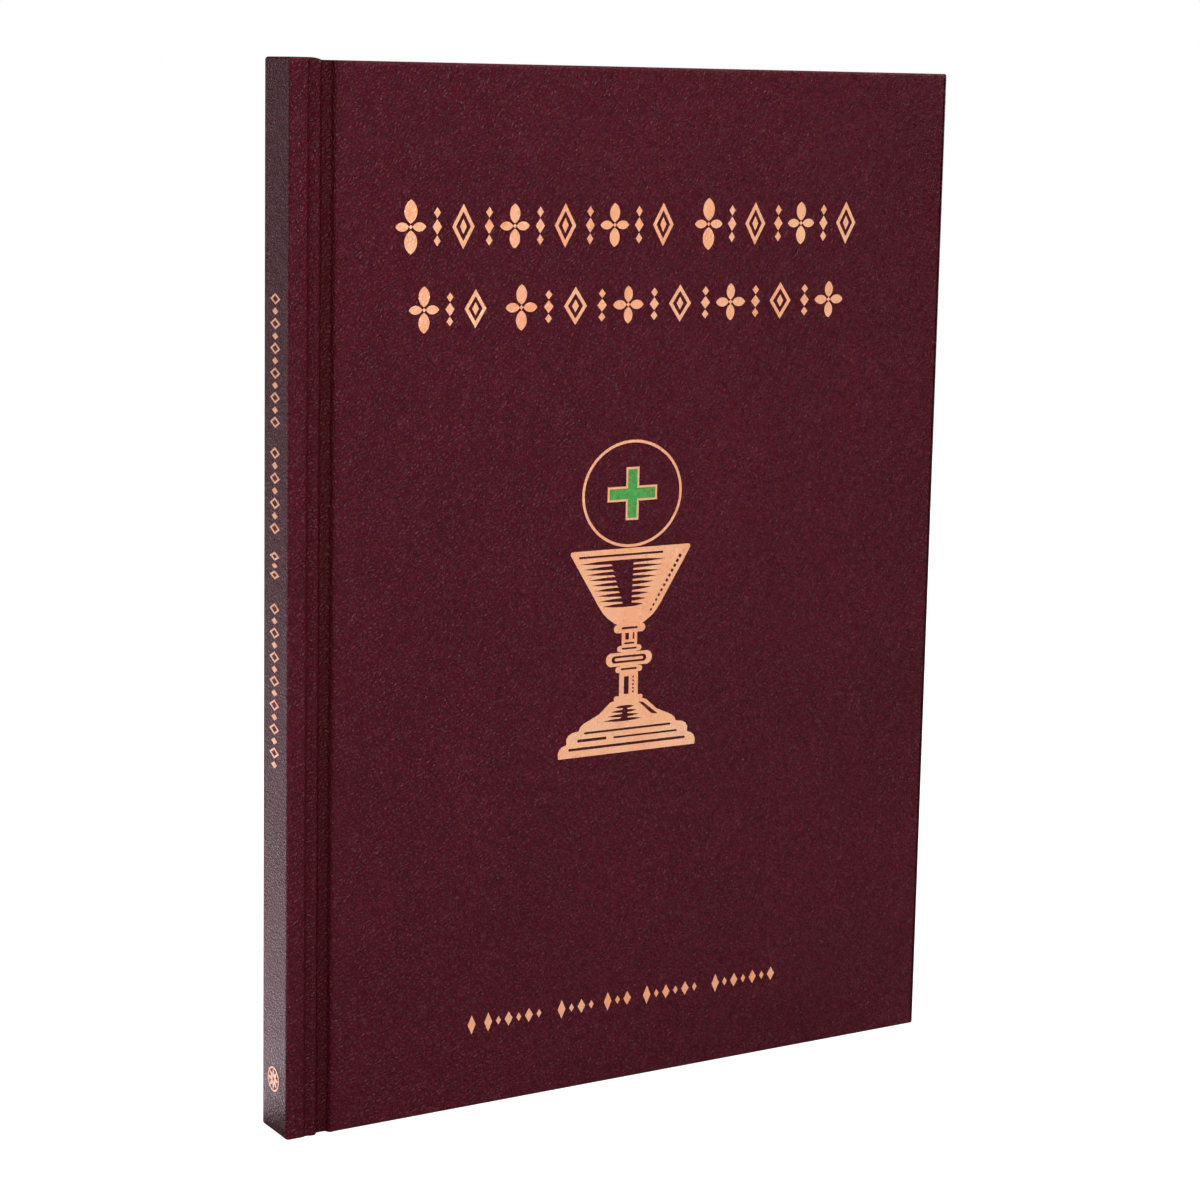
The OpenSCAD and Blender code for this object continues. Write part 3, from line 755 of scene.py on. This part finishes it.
def add_sheet(b, s_line, d_out, d_in, low, high, end_shift=0.0):
    """A thin sheet of paper along a line of places; its edges are whole faces."""
    line = np.array(s_line, float)
    line[-1] += end_shift
    rows = [[(s, d_out, low), (s, d_out, high), (s, d_in, high), (s, d_in, low)] for s in line]
    b.grid(rows, closed=True)
    b.fill(rows[0][::-1])
    b.fill(rows[-1])


leaf_line = np.concatenate([[HINGE - GAP, HINGE], run(HINGE + 0.4, HINGE + LEAF_BEND, 0.4),
                            run(HINGE + LEAF_BEND + 4, LEAF_END, 26)])


def leaf_mesh(name, node, side, material, count):
    """The sheets that stand in for one CAD node."""
    low, high = box_mm(node)
    first = low.y + HALF_T if side > 0 else HALF_T - high.y
    last = high.y + HALF_T if side > 0 else HALF_T - low.y
    b = Builder()
    pitch = (last - first) / count
    for i in range(count):
        jitter = random.uniform(-FORE_EDGE_UNEVEN, 0.0) if count > 1 else 0.0
        cut = random.uniform(-HEAD_UNEVEN, 0.0) if count > 1 else 0.0
        gap = AIR_SHARE * pitch if count > 1 else 0.0
        add_sheet(b, leaf_line, first + i * pitch + gap, first + (i + 1) * pitch - gap,
                  low.z - cut, high.z + cut, jitter)
    obj = b.mesh(name, side, material, merge=SHEET_MERGE)
    obj.data.polygons.foreach_set("use_smooth", [False] * len(obj.data.polygons))
    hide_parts(node)
    bend(obj, side, HINGE + 0.1, HINGE + LEAF_BEND)


for number in range(1, SECTIONS + 1):
    leaf_side = 1 if number <= SECTIONS / 2 else -1
    leaf_mesh(f"leaves_of_section_{number}", f"section_{number}",
              leaf_side, PAPER, LEAVES_PER_SECTION)
leaf_mesh("front_flyleaf_sheet", "front_flyleaf", 1, ENDPAPER,
          1)
leaf_mesh("back_flyleaf_sheet", "back_flyleaf", -1, ENDPAPER,
          1)

for side, name, body in ((1, "front_endpaper_joint", "front_cover"),
                         (-1, "back_endpaper_joint", "back_cover")):
    strip = Builder()
    add_sheet(strip, np.linspace(HINGE - GAP, HINGE + GAP, 17), PASTE_IN - ENDPAPER_T,
              PASTE_IN, LEAF_LOW, LEAF_HIGH)
    joint = strip.mesh(name, side, ENDPAPER, merge=SHEET_MERGE)
    bend(joint, side, HINGE - GAP, HINGE + GAP)

# ---- Head and tail bands ----


def band(name, node, top):
    """A wound bead on the leaves' edge and its tape down the back of the block."""
    low, high = box_mm(node)
    b = Builder()
    bead_r, wind_depth, tape_t = 0.9, 0.14, 0.3
    bead_s = high.x + HALF_W - bead_r
    bead_z = high.z - bead_r if top else low.z + bead_r
    winds, per_wind = 18, 6
    half = (high.y - low.y) / 2
    rows = []
    for i in range(winds * per_wind + 1):
        share = i / (winds * per_wind)
        swell = abs(math.sin(math.pi * share * winds)) ** 0.6
        radius = bead_r - wind_depth + wind_depth * swell
        if i in (0, winds * per_wind):
            radius = bead_r * 0.7
        rows.append([(bead_s + a, HALF_T - half + 2 * half * share, bead_z + c)
                     for a, c in arc((0, 0), radius, 0, 337.5, 15)])
    b.grid(rows, closed=True)
    b.fill(rows[0][::-1])
    b.fill(rows[-1])
    back_s = low.x + HALF_W
    z_near, z_far = (bead_z, low.z) if top else (bead_z, high.z)
    tape = [[(back_s, HALF_T - half, z), (back_s, HALF_T + half, z),
             (back_s + tape_t, HALF_T + half, z), (back_s + tape_t, HALF_T - half, z)]
            for z in run(z_near, z_far, 1.0)]
    b.grid(tape, closed=True)
    b.fill(tape[0][::-1])
    b.fill(tape[-1])
    obj = b.mesh(name, 1, SILK, merge=SHEET_MERGE)
    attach(obj, "spine_block")
    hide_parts(node)


band("headband_wound", "headband", True)
band("tailband_wound", "tailband", False)

# ---- Floor, lights and camera ----

FLOOR_REACH = 6.0
FLOOR_GREY = 0.4
# The floor and the air are white to the camera, and these shades to all other light.
WHITE_TO_CAMERA = 1.0
AIR_TO_OTHERS = 0.08

floor_mesh = bpy.data.meshes.new("floor")
floor_mesh.from_pydata([(x * FLOOR_REACH, y * FLOOR_REACH, 0)
                        for x, y in ((-1, -1), (1, -1), (1, 1), (-1, 1))],
                       [], [(0, 1, 2, 3)])
floor = bpy.data.objects.new("floor", floor_mesh)
bpy.context.scene.collection.objects.link(floor)
floor_look = Nodes("pale_floor")
floor_look.finish((*(FLOOR_GREY,) * 3, 1.0), 0.9, Specular_IOR_Level=0.1)
to_camera = floor_look.new("ShaderNodeLightPath").outputs["Is Camera Ray"]
floor_look.put(floor_look.shader.inputs["Emission Strength"],
               floor_look.math("MULTIPLY", to_camera, WHITE_TO_CAMERA))
floor_look.put(floor_look.shader.inputs["Emission Color"], (1.0, 1.0, 1.0, 1.0))
floor_mesh.materials.append(floor_look.mat)

world = bpy.data.worlds.new("studio")
bpy.context.scene.world = world
world.use_nodes = True
air = world.node_tree
air.nodes["Background"].inputs["Color"].default_value = (1.0, 1.0, 1.0, 1.0)
seen = air.nodes.new("ShaderNodeLightPath")
level = air.nodes.new("ShaderNodeMapRange")
level.inputs["To Min"].default_value = AIR_TO_OTHERS
level.inputs["To Max"].default_value = WHITE_TO_CAMERA
air.links.new(seen.outputs["Is Camera Ray"], level.inputs["Value"])
air.links.new(level.outputs["Result"], air.nodes["Background"].inputs["Strength"])


def area_light(name, place_at, target, size, power, tint=(1, 1, 1)):
    data = bpy.data.lights.new(name, "AREA")
    data.shape = "RECTANGLE"
    data.size, data.size_y = size
    data.energy = power
    data.color = tint
    obj = bpy.data.objects.new(name, data)
    bpy.context.scene.collection.objects.link(obj)
    obj.location = place_at
    direction = Vector(target) - Vector(place_at)
    obj.rotation_euler = direction.to_track_quat("-Z", "Y").to_euler()
    return obj


# Just above the floor, so that the foot of the spine catches the panels' light too.
PANEL_Z = 0.0004
PANEL_TURN = math.radians(25)
PANEL_TINT = (1.0, 0.93, 1.02)


def floor_panel(name, middle, size, power):
    """A panel lying on the floor, whose light the spine's sheen picks up."""
    above = (*middle, 1.0)
    obj = area_light(name, (*middle, PANEL_Z), above, size, power, PANEL_TINT)
    obj.rotation_euler = (math.pi, 0.0, PANEL_TURN)
    obj.visible_camera = False


area_light("soft_key", (-0.22, -0.92, 0.57), (-0.04, 0.0, 0.16), (0.25, 0.25), 8.0)
area_light("top_fill", (0.0, -0.3, 1.9), (0.0, 0.0, 0.14), (1.8, 1.8), 20)
floor_panel("spine_sheen", (-0.42, 0.69), (0.3, 1.5), 2.8)
floor_panel("spine_foot_sheen", (-0.13, 0.058), (0.055, 0.09), 0.022)
area_light("edge_fill", (1.3, 0.3, 0.55), (0.1, 0.0, 0.14), (0.8, 0.8), 9.0)
area_light("spine_rim", (-0.5, 0.85, 0.3), (-0.1, 0.0, 0.22), (0.5, 0.4), 1.1,
           (1.0, 0.9, 0.96))

CAMERA_AT = (-0.4003, -0.6488, 0.2691)
CAMERA_ANGLES = (-31.33, -8.57, 1.12)

camera_data = bpy.data.cameras.new("camera")
camera_data.sensor_width = 36.0
camera_data.lens = 86.5
camera_data.shift_x, camera_data.shift_y = 0.0, -0.07
camera_data.clip_start, camera_data.clip_end = 0.01, 50.0
camera = bpy.data.objects.new("camera", camera_data)
bpy.context.scene.collection.objects.link(camera)
yaw, pitch, roll = (math.radians(angle) for angle in CAMERA_ANGLES)
forward = Vector((-math.sin(yaw) * math.cos(pitch), math.cos(yaw) * math.cos(pitch),
                  math.sin(pitch)))
right = Vector((math.cos(yaw), math.sin(yaw), 0.0))
up = right.cross(forward)
cam_x = right * math.cos(roll) + up * math.sin(roll)
cam_y = -right * math.sin(roll) + up * math.cos(roll)
turned = Matrix((cam_x, cam_y, -forward)).transposed().to_4x4()
camera.matrix_world = Matrix.Translation(CAMERA_AT) @ turned
bpy.context.scene.camera = camera

scene = bpy.context.scene
scene.view_settings.view_transform = "Standard"
scene.view_settings.look = "None"
